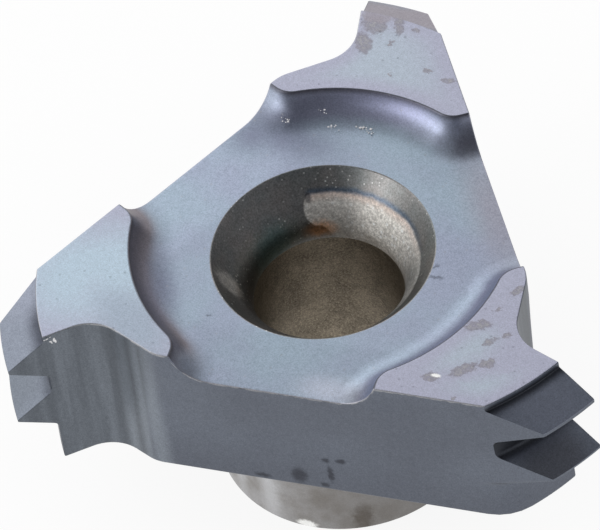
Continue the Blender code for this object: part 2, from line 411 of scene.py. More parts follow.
def sector(sizes):
    """One corner's points, as rows and columns, each face's finish, and where the edges are.

    Columns: the mouth of one side, the end of the recess's wall on that side, the pad's outline,
    and the end of the wall on the next side. A wall's end has one column for each of its rows, so
    the rows stop there one after another and the columns of the side face take over.
    """
    edge = sizes["edge"]
    offset, depth, slope = recess_profile(sizes["pad_edge"])
    strip = len(offset)
    outward, along = side_axes(0)
    next_outward, next_along = side_axes(1)
    pad_start = MOUTH_WIDTH / 2 - offset[-1]
    foot = MOUTH_WIDTH / 2 - offset[0]
    profile = thread_profile(sizes["crest"], sizes["land"])
    bottom_depth = profile[-1, 1]
    bottom = -bottom_depth
    hub_end = HUB_END - PADS_HEIGHT

    mouth_s = np.linspace(-foot, foot, MOUTH_COLUMNS + 2)[1:-1]
    order = np.arange(strip - 1)
    s_strip = MOUTH_WIDTH / 2 - offset[:-1]
    z_strip = -depth[:-1]
    lift = edge * np.sin(slope[:-1])
    drop = edge * np.cos(slope[:-1])
    rows, finishes, teeth = [], [], []

    def add(row, finish, tooth=0.0):
        rows.append(row)
        finishes.append(finish)
        teeth.append(tooth)

    def outline(radius, row_depth, heel, inset=0.0):
        return pad_outline(radius, row_depth, heel, sizes["tip"], pad_start, inset)

    def on_side(s, reach, following=False):
        """Plan points along a side at distances s from its middle, towards the pad."""
        axis, way = (next_outward, -next_along) if following else (outward, along)
        return np.broadcast_to(reach, len(s))[:, None] * axis + s[:, None] * way

    def across(mouth, end, pad, following_end):
        return np.vstack([mouth, end, pad, following_end[::-1]])

    def both_ends(s, reach, height):
        return [at_height(on_side(s, reach, following), height) for following in (False, True)]

    count = len(outline(THREAD_ROOT, 0, TOOTH_HEEL))
    share = shares_along_pad(count)
    pads = slice(MOUTH_COLUMNS + strip - 1, MOUTH_COLUMNS + strip - 1 + count)
    mouth_edge = at_height(on_side(mouth_s, inradius(RECESS_DEPTH) - edge), -RECESS_DEPTH)

    def strip_row(level):
        """A row of the recess's wall. Columns whose own row is lower have already stopped."""
        stop = np.minimum(order, level)
        reach = inradius(depth[stop]) - edge
        ends = both_ends(MOUTH_WIDTH / 2 - offset[stop], reach, -depth[stop])
        plan = recess_edge(share, offset[level], inradius(depth[level]) - edge)
        return across(mouth_edge, ends[0], at_height(plan, -depth[level]), ends[1])

    feet = strip_row(0)
    angle = np.unwrap(np.arctan2(feet[:, 1], feet[:, 0]))

    def ring(radius, height):
        return at_height(polar(radius, angle), height)

    def wall_row(radius, row_depth, heel, inset=0.0):
        """A level row of the outer wall, which starts below the rounded upper edge."""
        z_mouth = -max(row_depth, RECESS_DEPTH + edge)
        z_ends = np.minimum(-row_depth, z_strip - drop)
        mouth = at_height(on_side(mouth_s, inradius(-z_mouth) - inset), z_mouth)
        ends = both_ends(s_strip + lift, inradius(-z_ends) - inset, z_ends)
        pad = at_height(outline(radius, row_depth, heel, inset), -row_depth)
        return across(mouth, ends[0], pad, ends[1])

    # The hole, from the hub's end up to its rim
    seat_top = -RECESS_DEPTH - LEAD_IN_DEPTH
    seat_bottom = seat_top - SEAT_DEPTH
    narrowing = LEAD_IN_RADIUS - BORE_RADIUS
    seat_radius = (SEAT_DEPTH**2 + narrowing**2) / (2 * narrowing)
    seat_turn = acos(1 - narrowing / seat_radius)
    for height in np.linspace(hub_end + edge, seat_bottom, BORE_ROWS + 1)[:-1]:
        add(ring(BORE_RADIUS, height), BORE)
    for turn in np.linspace(0, seat_turn, SEAT_ROWS + 1):
        radius = BORE_RADIUS + seat_radius * (1 - cos(turn))
        add(ring(radius, seat_bottom + seat_radius * sin(turn)), SEAT)
    lead_in = np.array([LEAD_IN_RADIUS, seat_top])
    rim = blend(
        lead_in,
        np.array([RIM_RADIUS, -RECESS_DEPTH]),
        np.array([RECESS_RADIUS, -RECESS_DEPTH]),
        sizes["rim"],
        EDGE_ROWS,
    )
    for radius, height in [*straight(lead_in, rim[0], LEAD_IN_ROWS), *rim[:-1]]:
        add(ring(radius, height), SEAT)

    # The recess's floor and wall, and the pad
    for row in spread_rows(ring(*rim[-1]), feet, FLOOR_ROWS)[:-1]:
        add(row, RECESS)
    for level in range(strip):
        add(strip_row(level), PAD if level == strip - 1 else RECESS)
    inner = rows[-1]
    outer_pad = at_height(outline(THREAD_ROOT, 0, TOOTH_HEEL, edge), 0.0)
    for row in spread_rows(inner[pads], outer_pad, PAD_ROWS)[1:]:
        full = inner.copy()
        full[pads] = row
        add(full, PAD)
    upper_edge = rows[-1]

    # The rounded upper edge, the teeth and sides, and the rounded lower edge
    for turn in quarter_turn(EDGE_ROWS):
        c, s = cos(turn), sin(turn)
        reach = inradius(RECESS_DEPTH) - edge * (1 - s)
        mouth = at_height(on_side(mouth_s, reach), -RECESS_DEPTH - edge * (1 - c))
        reach = inradius(-z_strip) - edge * (1 - s)
        ends = both_ends(s_strip + lift * (1 - c), reach, z_strip - drop * (1 - c))
        pad = outline(THREAD_ROOT, 0, TOOTH_HEEL, edge * (1 - s))
        add(across(mouth, ends[0], at_height(pad, -edge * (1 - c)), ends[1]), SIDE)
    lower_edge = sizes["lower_edge"]
    levels = [row for row in profile if edge < row[1] < bottom_depth - lower_edge]
    for level in levels:
        add(wall_row(*level), FLANK, (level[0] - THREAD_ROOT) / THREAD_DEPTH)
    for row_depth in np.linspace(levels[-1][1], bottom_depth - lower_edge, SHOULDER_ROWS + 1)[1:]:
        add(wall_row(THREAD_ROOT, row_depth, SHOULDER_HEEL), SIDE)
    for turn in quarter_turn(EDGE_ROWS + 1):
        row = wall_row(THREAD_ROOT, bottom_depth, SHOULDER_HEEL, lower_edge * (1 - cos(turn)))
        row[:, 2] += lower_edge * (1 - sin(turn))
        add(row, SIDE)
    bottom_edge = rows[-1]
    bottom_row = len(rows) - 1

    # The underside, the hub and its end
    hub_root = sizes["hub_root"]
    for row in spread_rows(rows[-1], ring(HUB_RADIUS + hub_root, bottom), UNDER_ROWS)[1:]:
        add(row, SIDE)
    for turn in quarter_turn(EDGE_ROWS):
        height = bottom - hub_root * (1 - cos(turn))
        add(ring(HUB_RADIUS + hub_root * (1 - sin(turn)), height), HUB)
    for height in np.linspace(bottom - hub_root, hub_end + edge, HUB_ROWS + 1)[1:]:
        add(ring(HUB_RADIUS, height), HUB)
    for turn in quarter_turn(EDGE_ROWS):
        add(ring(HUB_RADIUS - edge * (1 - cos(turn)), hub_end + edge * (1 - sin(turn))), HUB)
    for radius in np.linspace(HUB_RADIUS - edge, BORE_RADIUS + edge, HUB_END_ROWS + 1)[1:]:
        add(ring(radius, hub_end), HUB)
    for turn in np.linspace(pi / 2, 0, EDGE_ROWS + 1)[1:-1]:
        add(ring(BORE_RADIUS + edge * (1 - cos(turn)), hub_end + edge * (1 - sin(turn))), BORE)

    down = np.array(finishes)[:, None]
    across_corner = column_finishes(strip, count)[None]
    on_wall = np.arange(len(rows))[:, None] < bottom_row
    walls = np.where((across_corner == FLANK) & (down == SIDE), SIDE, across_corner)
    face_finishes = np.where((down >= SIDE) & on_wall, walls, down)
    edges = {
        "pad": run_out(np.vstack([inner[pads], outer_pad])),
        "outer": run_out(np.vstack([upper_edge, bottom_edge])),
    }
    return run_out(np.array(rows)), face_finishes, np.array(teeth), edges


# Looks. The height of the seat's upper end is in metres
SEAT_TOP = (PADS_HEIGHT - RECESS_DEPTH - LEAD_IN_DEPTH) * MM


def all_corners(points):
    """One corner's points, repeated round the screw hole along the last axis but one."""
    spins = [Matrix.Rotation(-i * 2 * pi / EDGES, 3, "Z") for i in range(EDGES)]
    return np.concatenate([points @ np.array(spin) for spin in spins], axis=-2)


def distance_to(points, targets):
    """The distance from each point to the nearest target."""
    parts = [
        np.linalg.norm(part[:, None] - targets, axis=2).min(axis=1)
        for part in np.array_split(points, 100)
    ]
    return np.concatenate(parts)


def area_normals(points, triangles):
    """The unit normal at each point: the sum of its triangles' normals, weighted by their areas."""
    a, b, c = (points[triangles[:, i]] for i in range(3))
    crosses = np.cross(b - a, c - a)
    normals = np.zeros_like(points)
    for i in range(3):
        np.add.at(normals, triangles[:, i], crosses)
    return normals / np.linalg.norm(normals, axis=1, keepdims=True)


def add_values(mesh, name, values):
    """Gives a mesh one named number at each point, for its materials."""
    attribute = mesh.attributes.new(name, "FLOAT", "POINT")
    attribute.data.foreach_set("value", values.astype(np.float32))


def body_mesh(sizes):
    """The insert's surface: the corners' grids joined, closed both ways, and its points merged."""
    rows, finishes, teeth, edges = sector(sizes)
    lift = np.array([0, 0, PADS_HEIGHT])
    grid = (all_corners(rows) + lift) * MM
    finishes = np.tile(finishes, (1, EDGES))
    key = np.round(grid.reshape(-1, 3) / (MERGE_DISTANCE * MM)).astype(np.int64)
    kept, index = np.unique(key, axis=0, return_index=True, return_inverse=True)[1:]
    points = grid.reshape(-1, 3)[kept]
    a = index.reshape(grid.shape[:2])
    b = np.roll(a, -1, axis=0)
    c = np.roll(b, -1, axis=1)
    d = np.roll(a, -1, axis=1)
    triangles = np.stack([a, b, c, a, c, d], axis=-1).reshape(-1, 3)
    slots = np.repeat(finishes.reshape(-1), 2)
    first, second, third = triangles.T
    whole = (first != second) & (second != third) & (third != first)
    triangles = triangles[whole]

    mesh = bpy.data.meshes.new("insert_body")
    mesh.from_pydata(points, [], triangles)
    mesh.polygons.foreach_set("material_index", np.minimum(slots[whole], SIDE))
    mesh.shade_smooth()
    normals = area_normals(points, triangles)
    mesh.normals_split_custom_set_from_vertices(normals)
    add_values(mesh, "steepness", 1 - normals[:, 2])
    add_values(mesh, "flank", (finishes == FLANK).reshape(-1)[kept])
    add_values(mesh, "gullet", (finishes == GULLET).reshape(-1)[kept])
    add_values(mesh, "tooth", np.repeat(teeth, grid.shape[1])[kept])
    for name, line in edges.items():
        targets = (all_corners(line) + lift) * MM
        add_values(mesh, name + "_edge", distance_to(points, targets))
    return mesh


def ball_mesh(rings, around):
    """A unit ball's points and its faces: quads between the rings, and a fan at each pole."""
    tilt = np.linspace(0, pi, rings)[1:-1, None]
    turn = np.linspace(0, 2 * pi, around, endpoint=False)
    level = np.sin(tilt)
    height = np.cos(tilt) * np.ones_like(turn)
    ball = np.stack([level * np.cos(turn), level * np.sin(turn), height], axis=-1)
    ball = np.vstack([ball.reshape(-1, 3), [[0, 0, 1], [0, 0, -1]]])
    i = np.arange((rings - 2) * around).reshape(rings - 2, around)
    j = np.roll(i, -1, axis=1)
    quads = np.stack([i[:-1], i[1:], j[1:], j[:-1]], axis=-1).reshape(-1, 4)
    poles = [np.full(around, i.size), np.full(around, i.size + 1)]
    fans = [np.stack([poles[0], i[0], j[0]], axis=-1), np.stack([i[-1], poles[1], j[-1]], axis=-1)]
    return ball, [quads, *fans]


def fleck_mesh(places, seed):
    """Flecks of dust: small clusters of balls with their own half-widths, on one mesh.

    A point of a ball is its direction times the half-widths times 1 plus a few waves in angle.
    """
    rng = np.random.default_rng(seed)
    ball, ball_faces = ball_mesh(9, 14)
    points, faces = [], []
    for place in np.repeat(places, FLECK_CLUSTER, axis=0):
        centre = place[:3] + rng.normal(0, 1, 3) * FLECK_SPREAD
        widths = place[3:6] * rng.uniform(0.15, 0.6)
        heading = place[6] + rng.uniform(0, 3)
        waves = rng.uniform(-1, 1, (3, 3))
        lump = 1 + 0.22 * np.sin(ball @ waves.T * 3 + rng.uniform(0, 6, 3)).sum(axis=1) / 2
        spin = np.array(Matrix.Rotation(heading, 3, "Z"))
        start = len(ball) * len(points)
        points.append((ball * lump[:, None] * widths @ spin.T + centre) * MM)
        for group in ball_faces:
            faces += (group + start).tolist()
    mesh = bpy.data.meshes.new("dust")
    mesh.from_pydata(np.concatenate(points), [], faces)
    mesh.shade_smooth()
    return mesh


class Value:
    """A shader socket that plain arithmetic works on. Each step adds a Math node to its tree."""

    def __init__(self, tree, socket):
        self.tree = tree
        self.socket = socket

    def maths(self, operation, other=0.0, swapped=False):
        """The result of a Math node on this value and another, or the other way round."""
        inputs = {0: other, 1: self} if swapped else {0: self, 1: other}
        return add(self.tree, "Math", inputs, operation=operation)

    def __add__(self, other):
        return self.maths("ADD", other)

    def __sub__(self, other):
        return self.maths("SUBTRACT", other)

    def __rsub__(self, other):
        return self.maths("SUBTRACT", other, swapped=True)

    def __mul__(self, other):
        return self.maths("MULTIPLY", other)

    def __truediv__(self, other):
        return self.maths("DIVIDE", other)

    def __rtruediv__(self, other):
        return self.maths("DIVIDE", other, swapped=True)


def feed(value, socket):
    """Links a socket to a value, or sets it. A colour's three numbers get full opacity."""
    if isinstance(value, Value):
        value.tree.links.new(value.socket, socket)
    else:
        socket.default_value = (*value, 1.0) if socket.type == "RGBA" else value


def new_node(tree, kind, inputs=None, **settings):
    """A new shader node with its settings, and its inputs fed by name or number."""
    node = tree.nodes.new("ShaderNode" + kind)
    for name, value in settings.items():
        setattr(node, name, value)
    for name, value in (inputs or {}).items():
        feed(value, node.inputs[name])
    return node


def add(tree, kind, inputs=None, output=0, **settings):
    """One output of a new shader node."""
    return Value(tree, new_node(tree, kind, inputs, **settings).outputs[output])


def vector(operation, first, second, output="Vector"):
    """The result of a Vector Math node."""
    inputs = {0: first, 1: second}
    return add(first.tree, "VectorMath", inputs, output, operation=operation)


def scaled(colour, shade):
    """A colour or vector times a number."""
    return add(colour.tree, "VectorMath", {0: colour, "Scale": shade}, operation="SCALE")


def axes(where):
    """The x, y and z of a vector."""
    node = new_node(where.tree, "SeparateXYZ", {0: where})
    return [Value(where.tree, socket) for socket in node.outputs]


def mix(share, first, second):
    """A colour between two, at a share of the way."""
    return add(share.tree, "Mix", {0: share, 6: first, 7: second}, 2, data_type="RGBA")


def ease(value, low, high, start=0.0, end=1.0):
    """A value eased from start to end as it goes from low to high."""
    inputs = {"Value": value, "From Min": low, "From Max": high, "To Min": start, "To Max": end}
    return add(value.tree, "MapRange", inputs, interpolation_type="SMOOTHSTEP")


def noise(where, scale, detail=2.0, roughness=0.5, output=0):
    """A noise texture's value, or its colour as output 1."""
    inputs = {"Vector": where, "Scale": scale, "Detail": detail, "Roughness": roughness}
    return add(where.tree, "TexNoise", inputs, output)


def named_value(where, name):
    """A number that the mesh carries at each point."""
    return add(where.tree, "Attribute", output="Fac", attribute_name=name)


def facing(where, direction, low, high):
    """A mask of where the surface faces a direction, from its normal's share along it."""
    normal = add(where.tree, "NewGeometry", output="Normal")
    return ease(vector("DOT_PRODUCT", normal, direction, "Value"), low, high)


def leftwards(where):
    """How far a point lies to the left, as the camera sees the insert."""
    return vector("DOT_PRODUCT", where, (-0.7, -0.7, 0.0), "Value")


def new_group(name, inputs, outputs):
    """A shader node group: its inputs as values, and its output node's sockets."""
    tree = bpy.data.node_groups.new(name, "ShaderNodeTree")
    for label, value in {"Vector": (0.0, 0.0, 0.0), **inputs}.items():
        kind = "Vector" if isinstance(value, tuple) else "Float"
        socket = tree.interface.new_socket(label, in_out="INPUT", socket_type="NodeSocket" + kind)
        socket.default_value = value
    for label in outputs:
        tree.interface.new_socket(label, in_out="OUTPUT", socket_type="NodeSocketFloat")
    sockets = tree.nodes.new("NodeGroupInput").outputs
    given = {socket.name: Value(tree, socket) for socket in sockets if socket.name}
    return given, tree.nodes.new("NodeGroupOutput").inputs


def grain_group():
    """Fine ground grain: two noises, as a bump height and as a shade about 1."""
    inputs = {"Size": 3e-5, "Contrast": 0.2}
    given, result = new_group("Ground grain", inputs, ["Height", "Shade"])
    scale = 1.0 / given["Size"]
    fine = noise(given["Vector"], scale, 3.0, 0.7)
    coarse = noise(given["Vector"], scale * 0.3)
    height = fine * 0.8 + coarse * 0.2
    feed(height, result["Height"])
    feed((height - 0.5) * given["Contrast"] * 4.0 + 1.0, result["Shade"])


def spot_group():
    """A ragged spot: 1 inside an ellipsoid with given half-widths and turn, 0 outside."""
    inputs = {
        "Centre": (0.0, 0.0, 0.0),
        "Widths": (1e-3, 1e-3, 1e-3),
        "Turn": 0.0,
        "Raggedness": 1e-4,
        "Softness": 0.15,
    }
    given, result = new_group("Ragged spot", inputs, ["Mask"])
    where = given["Vector"]
    ragged = vector("SUBTRACT", noise(where, 9000.0, 4.0, 0.65, 1), (0.5, 0.5, 0.5))
    moved = vector("ADD", where, scaled(ragged, given["Raggedness"]))
    inputs = {"Vector": vector("SUBTRACT", moved, given["Centre"]), "Angle": given["Turn"] * -1.0}
    turned = add(where.tree, "VectorRotate", inputs, rotation_type="Z_AXIS")
    share = vector("DIVIDE", turned, given["Widths"])
    reach = add(where.tree, "VectorMath", {0: share}, "Value", operation="LENGTH")
    softness = given["Softness"]
    feed(ease(reach, 1.0 - softness, softness + 1.0, 1.0, 0.0), result["Mask"])


def wear_group():
    """Wear along an edge: a mask that fades with the distance from it and breaks up in noise."""
    inputs = {"Distance": 0.0, "Width": 5e-5, "Loss": 0.6}
    given, result = new_group("Edge wear", inputs, ["Mask"])
    lost = ease(noise(given["Vector"], 5000.0, 3.0, 0.6), 0.35, 0.65) * given["Loss"]
    near = given["Distance"] / (given["Width"] * (1.0 - lost))
    feed(ease(near, 0.4, 1.2, 1.0, 0.0), result["Mask"])


def speck_group():
    """Sparse specks: a mask of small round cells, of which only a share is kept."""
    inputs = {"Spacing": 1e-4, "Amount": 0.1, "Width": 0.3}
    given, result = new_group("Specks", inputs, ["Mask"])
    tree = given["Vector"].tree
    inputs = {"Vector": given["Vector"], "Scale": 1.0 / given["Spacing"]}
    cells = new_node(tree, "TexVoronoi", inputs).outputs
    chosen = add(tree, "SeparateColor", {0: Value(tree, cells["Color"])})
    kept = chosen.maths("LESS_THAN", given["Amount"])
    width = given["Width"]
    near = ease(Value(tree, cells["Distance"]), width * 0.6, width, 1.0, 0.0)
    feed(kept * near, result["Mask"])


def use(where, name, output="Mask", **inputs):
    """An effect's output, from its node group placed in a tree with its own values."""
    node = where.tree.nodes.new("ShaderNodeGroup")
    node.node_tree = bpy.data.node_groups[name]
    for label, value in {"Vector": where, **inputs}.items():
        feed(value, node.inputs[label])
    return Value(where.tree, node.outputs[output])


def specks(where, spacing, amount, width):
    """A mask of sparse specks."""
    return use(where, "Specks", Spacing=spacing, Amount=amount, Width=width)


def spots(where, places, raggedness, softness, height=0.4):
    """One mask of several ragged spots. A place is x, y, z, two half-widths in mm and a turn.

    The height is the spots' third half-width in mm.
    """
    mask = None
    for x, y, z, length, width, turn in places:
        one = use(
            where, "Ragged spot", Centre=(x * MM, y * MM, z * MM),
            Widths=(length * MM, width * MM, height * MM), Turn=radians(turn),
            Raggedness=raggedness, Softness=softness,
        )
        mask = mask.maths("MAXIMUM", one) if mask else one
    return mask


def worn_and_lit_front(where, loss):
    """Wear along the outer edges, kept where they face the front, so it is partly a painted
    highlight. Noise takes a share away.
    """
    edge = named_value(where, "outer_edge")
    wear = use(where, "Edge wear", Distance=edge, Width=0.06 * MM, Loss=loss)
    return wear * facing(where, (0.0, -0.8, 0.6), 0.62, 0.75)


def cleared(owner):
    """The emptied node tree of a material or a world."""
    owner.use_nodes = True
    owner.node_tree.nodes.clear()
    return owner.node_tree


def new_metal(name):
    """A metal's material: the material, its shader's inputs, and Object coordinates."""
    material = bpy.data.materials.new(name)
    tree = cleared(material)
    inputs = {"Metallic": 1.0, "Specular Tint": (0.85, 0.85, 0.85)}
    shader = new_node(tree, "BsdfPrincipled", inputs)
    new_node(tree, "OutputMaterial", {"Surface": Value(tree, shader.outputs[0])})
    return material, shader.inputs, add(tree, "TexCoord", output="Object")


def finish(shader, where, colour, grain, contrast, roughness, depth):
    """Puts a colour on a metal with its grain, and its roughness. Depth is the grain's height."""
    shade = use(where, "Ground grain", "Shade", Size=grain, Contrast=contrast)
    height = use(where, "Ground grain", "Height", Size=grain, Contrast=contrast)
    bump = add(where.tree, "Bump", {"Height": height, "Distance": depth, "Strength": 1.0})
    feed(scaled(colour, shade), shader["Base Color"])
    feed(roughness, shader["Roughness"])
    feed(bump, shader["Normal"])


def pad_material(colours):
    """Coated pads: lavender with pale, cyan and teal areas, worn tips and patches, front edges worn
    and painted pale as a highlight, and a nick with a painted highlight.
    """
    material, shader, where = new_metal("coated_pads")
    middle = ease(named_value(where, "pad_edge"), 0.05 * MM, 0.5 * MM)
    pale = spots(where, PALE_AREAS, 6e-4, 0.7) * middle
    drift = ease(noise(where, 700.0, 3.0, 0.55), 0.1, 0.5, 0.6)
    cyan = spots(where, CYAN_AREAS, 6e-4, 0.6) * drift
    colour = mix(pale, colours.pad, colours.pad_pale)
    colour = mix(cyan, colour, colours.pad_middle)
    colour = mix(spots(where, TEAL_AREAS, 6e-4, 0.6) * 0.9, colour, colours.pad_teal)
    mottle = ease(noise(where, 12000.0, 3.0, 0.7), 0.35, 0.6, 0.25)
    worn = spots(where, WORN_PATCHES, 3e-4, 0.35) * mottle
    colour = mix(worn, colour, colours.worn)
    colour = mix(worn * (1.0 - worn) * 2.0, colour, colours.worn_dark)
    colour = mix(spots(where, WORN_TIPS, 3e-4, 0.3) * 0.8, colour, colours.worn_tip)
    # Pale front edges: partly worn, partly a painted highlight where the edges face the front
    colour = mix(worn_and_lit_front(where, 0.7) * 0.7, colour, colours.worn_edge_highlight)
    # A nick in a pad's coating, painted white as a highlight and made less metallic
    chip_highlight = spots(where, CHIP_HIGHLIGHTS, 1.5e-4, 0.4)
    colour = mix(chip_highlight * 0.8, colour, colours.painted_glint_and_dust)
    colour = mix(specks(where, 1.8e-4, 0.3, 0.2) * 0.25, colour, colours.side_mark)
    feed(ease(chip_highlight, 0.0, 1.0, 1.0, 0.4), shader["Metallic"])
    finish(shader, where, colour, 3e-5, 0.28, 0.36, 1e-6)
    return material


def recess_material(colours):
    """Coated recess: steel blue on its floor, purple on the steep wall, dark along the pads, with
    painted highlights, sheen, reflection and shade.
    """
    material, shader, where = new_metal("coated_recess")
    steep = named_value(where, "steepness")
    drift = ease(noise(where, 500.0, 3.0, 0.5), 0.3, 0.7)
    floor = mix(drift, colours.recess, colours.recess_blue)
    # Painted reflection: the steep wall on the left is painted greyer
    left = ease(leftwards(where), 1.2 * MM, 2.6 * MM)
    wall = mix(left, colours.wall, colours.wall_grey_reflection)
    colour = mix(ease(steep, 0.001, 0.2), floor, wall)
    # Painted highlights on the steep wall and below a pad's corner
    colour = mix(spots(where, WALL_HIGHLIGHTS, 1e-4, 0.9, 0.6) * 0.8, colour, colours.wall_highlight)
    # A painted highlight on the recess's floor near a side's mouth
    colour = mix(spots(where, RECESS_HIGHLIGHTS, 1e-4, 0.9) * 0.8, colour, colours.recess_highlight)
    # Painted shade: a greyer, darker area of the floor near a side
    colour = mix(spots(where, RECESS_LILAC_SHADE, 2e-4, 0.95, 0.6) * 0.9, colour, colours.recess_lilac_shade)
    # Painted shade at the foot of the recess's wall
    colour = mix(spots(where, RECESS_FOOT_SHADE, 2e-4, 0.95, 0.6) * 0.75, colour, colours.recess_foot_shade)
    # A painted sheen: the steep wall's middle painted brighter violet
    violet = spots(where, RECESS_VIOLET_SHEEN, 1e-4, 0.9, 0.6) * ease(steep, 0.05, 0.4, 0.0, 0.8)
    colour = mix(violet, colour, colours.wall_violet_sheen)
    colour = mix(spots(where, RECESS_SHADES, 3e-4, 0.7) * 0.5, colour, colours.shade)
    line = ease(left, 0.0, 1.0, 0.75, 0.4)
    crown = ease(named_value(where, "pad_edge"), 0.02 * MM, 0.16 * MM, line, 0.0)
    colour = mix(crown, colour, colours.shade)
    colour = mix(specks(where, 1.6e-4, 0.14, 0.22) * 0.3, colour, colours.worn)
    colour = mix(spots(where, RECESS_MARKS, 2.5e-4, 0.5) * 0.5, colour, colours.side_mark)
    finish(shader, where, colour, 3e-5, 0.3, 0.42, 1e-6)
    return material


def worn_and_lit_band(azimuth, height):
    """A mask of the seat's bare band, between the bore and the lead-in: partly worn bare metal,
    partly a painted lit crescent.

    It has a round end at azimuth 143 degrees, and fades away from 15 down to -35 degrees. It is
    painted dimmer towards both ends.
    """
    aside = ((azimuth - radians(133)) * (2.0 * MM)).maths("MAXIMUM")
    over = height - 1.28 * MM
    reach = (aside * aside + over * over).maths("SQRT")
    lower = ease(azimuth, radians(118), radians(136), 0.9 * MM, 0.34 * MM)
    under = ease(over * -1.0 / lower, 0.75, 1.0, 1.0, 0.0)
    round_end = ease(reach, 0.32 * MM, 0.38 * MM, 1.0, 0.0)
    inside = mix(ease(azimuth, radians(132), radians(134)), under, round_end)
    far_end = ease(azimuth, radians(-35), radians(15))
    below = ease(height, SEAT_TOP - 0.05 * MM, SEAT_TOP + 0.01 * MM, 1.0, 0.0)
    dull_start = ease(azimuth, radians(90), radians(116), 1.0, 0.5)
    dull_end = ease(azimuth, radians(25), radians(84), 0.4)
    return inside * far_end * below * dull_start * dull_end


def seat_material(colours):
    """The hole's seat: coated, but worn bare on the far side, where a screw's head has rubbed, and
    painted bright there as a lit crescent.

    Heat has tinted the coating blue and orange above the bare band.
    """
    material, shader, where = new_metal("worn_seat")
    x, y, z = axes(where)
    azimuth = y.maths("ARCTAN2", x)
    wobble = noise(where, 2500.0, 4.0, 0.7) - 0.5
    height = wobble * (0.1 * MM) + z
    drift = ease(noise(where, 900.0, 3.0, 0.6), 0.3, 0.7)
    colour = mix(drift, colours.seat, colours.seat_warm)
    strewn = ease(noise(where, 1300.0), 0.4, 0.65, 0.1, 0.9)
    # Pale specks of dust on the coated seat
    colour = mix(specks(where, 8e-5, 0.3, 0.3) * strewn, colour, colours.painted_glint_and_dust)
    colour = mix(spots(where, SEAT_TEAL, 3e-4, 0.7) * 0.6, colour, colours.teal)

    # The bare band's colour: rubbed metal's grains, painted bright as the lit crescent
    grains = ease(noise(where, 12000.0, 3.0, 0.7), 0.38, 0.6)
    metal = mix(grains, colours.rubbed_and_lit_grain, colours.rubbed_and_lit)
    # Painted glints among the bare band's grains
    metal = mix(specks(where, 1.1e-4, 0.3, 0.42), metal, colours.painted_glint_and_dust)
    # Painted shade along the band's lower edge, towards the bore
    foot = ease(wobble * (0.5 * MM) + height, 0.6 * MM, 1.0 * MM, 0.55, 0.0)
    metal = mix(foot, metal, colours.bore)
    band = worn_and_lit_band(azimuth, height)
    colour = mix(band, colour, metal)

    start = ease(azimuth, radians(30), radians(75))
    end = ease(azimuth, radians(136), radians(142), 1.0, 0.0)
    warm = ease(height, SEAT_TOP - 0.2 * MM, SEAT_TOP - 0.02 * MM)
    blue = ease(height, SEAT_TOP - 0.07 * MM, SEAT_TOP + 0.01 * MM)
    gone = ease(height, SEAT_TOP + 0.01 * MM, SEAT_TOP + 0.1 * MM, 1.0, 0.0)
    tint = mix(blue, colours.heat_orange, colours.heat_blue)
    colour = mix(start * end * warm * gone * 0.65, colour, tint)
    # A painted patch of light low on the seat's near side, in the rubbed metal's colour
    colour = mix(spots(where, SEAT_LIT_PATCH, 2.5e-4, 0.4) * 0.7, colour, colours.rubbed_and_lit)
    colour = mix(spots(where, SEAT_PITS, 8e-5, 0.3) * 0.7, colour, colours.side_mark)
    colour = mix(spots(where, SEAT_STAINS, 2e-4, 0.7, 0.17) * 0.6, colour, colours.rust)
    feed(ease(band, 0.0, 1.0, 1.0, 0.45), shader["Metallic"])
    finish(shader, where, colour, 4e-5, 0.5, ease(band, 0.0, 1.0, 0.38, 0.55), 3e-6)
    return material


def bore_material(colours):
    """The bore: uncoated, as sintered, brown and grainy."""
    material, shader, where = new_metal("bare_bore")
    drift = ease(noise(where, 1500.0, 3.0, 0.6), 0.3, 0.7)
    colour = mix(drift, colours.bore, colours.bore_dark)
    grains = ease(noise(where, 26000.0, 4.0, 0.8), 0.42, 0.68, 0.0, 0.5)
    colour = mix(grains, colour, colours.bore_pale)
    finish(shader, where, colour, 4e-5, 0.6, 0.5, 6e-6)
    return material


